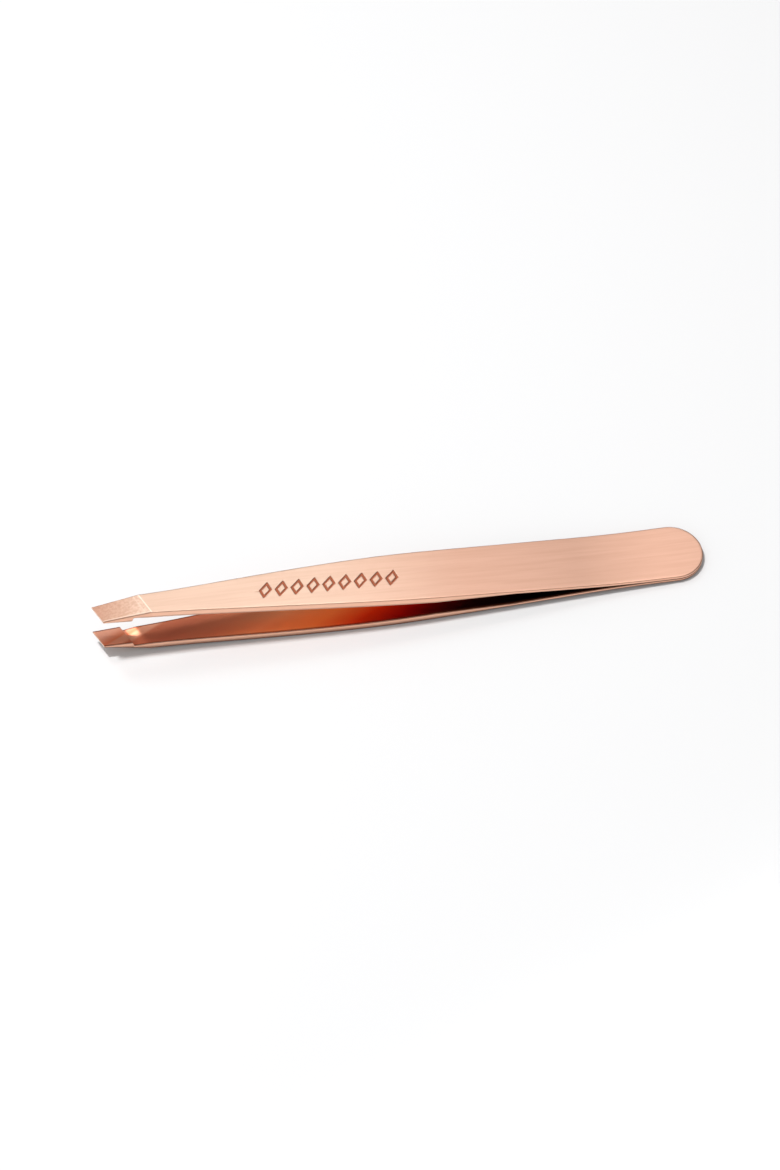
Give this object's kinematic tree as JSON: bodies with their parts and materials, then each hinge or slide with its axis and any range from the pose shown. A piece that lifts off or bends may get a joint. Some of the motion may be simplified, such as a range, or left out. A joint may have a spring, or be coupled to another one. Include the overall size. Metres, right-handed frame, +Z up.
{
  "type": "slant tweezers",
  "caption": "Slant-tip tweezers: two bowed, tapering spring-steel arms welded at a rounded heel, with bevelled outer tips and raised jaw pads.",
  "frame": {"origin": "centre of the bottom of the bounding box, with the tweezers lying on the lower arm", "axes": "+X along the length towards the heel, +Y across the width towards the leading corner of the slanted tips, +Z up, the squeezing direction"},
  "size_m": [0.095, 0.0098, 0.0101],
  "materials": {
    "rose_gold_steel": "rose-gold coated stainless steel, satin brushed along the length",
    "weld_steel": "bare fused stainless steel, inside the heel"
  },
  "bodies": {
    "heel": {"upper_heel": "rose_gold_steel", "lower_heel": "rose_gold_steel", "weld_nuggets": "weld_steel"},
    "upper_jaw": {"upper_arm": "rose_gold_steel"},
    "lower_jaw": {"lower_arm": "rose_gold_steel"}
  },
  "joints": [
    {"name": "upper_squeeze", "type": "hinge", "parent": "heel", "child": "upper_jaw", "pos_m": [0.02951, 0, 0.00191], "axis": [0, -1, 0], "range_deg": [0, 2.24], "stiffness_Nm_per_rad": 1.2},
    {"name": "lower_squeeze", "type": "hinge", "parent": "heel", "child": "lower_jaw", "pos_m": [0.02948, 0, 0.00124], "axis": [0, 1, 0], "range_deg": [0, 2.24], "stiffness_Nm_per_rad": 1.2}
  ],
  "couplings": [
    {"joint": "lower_squeeze", "follows": "upper_squeeze", "ratio": 1}
  ]
}
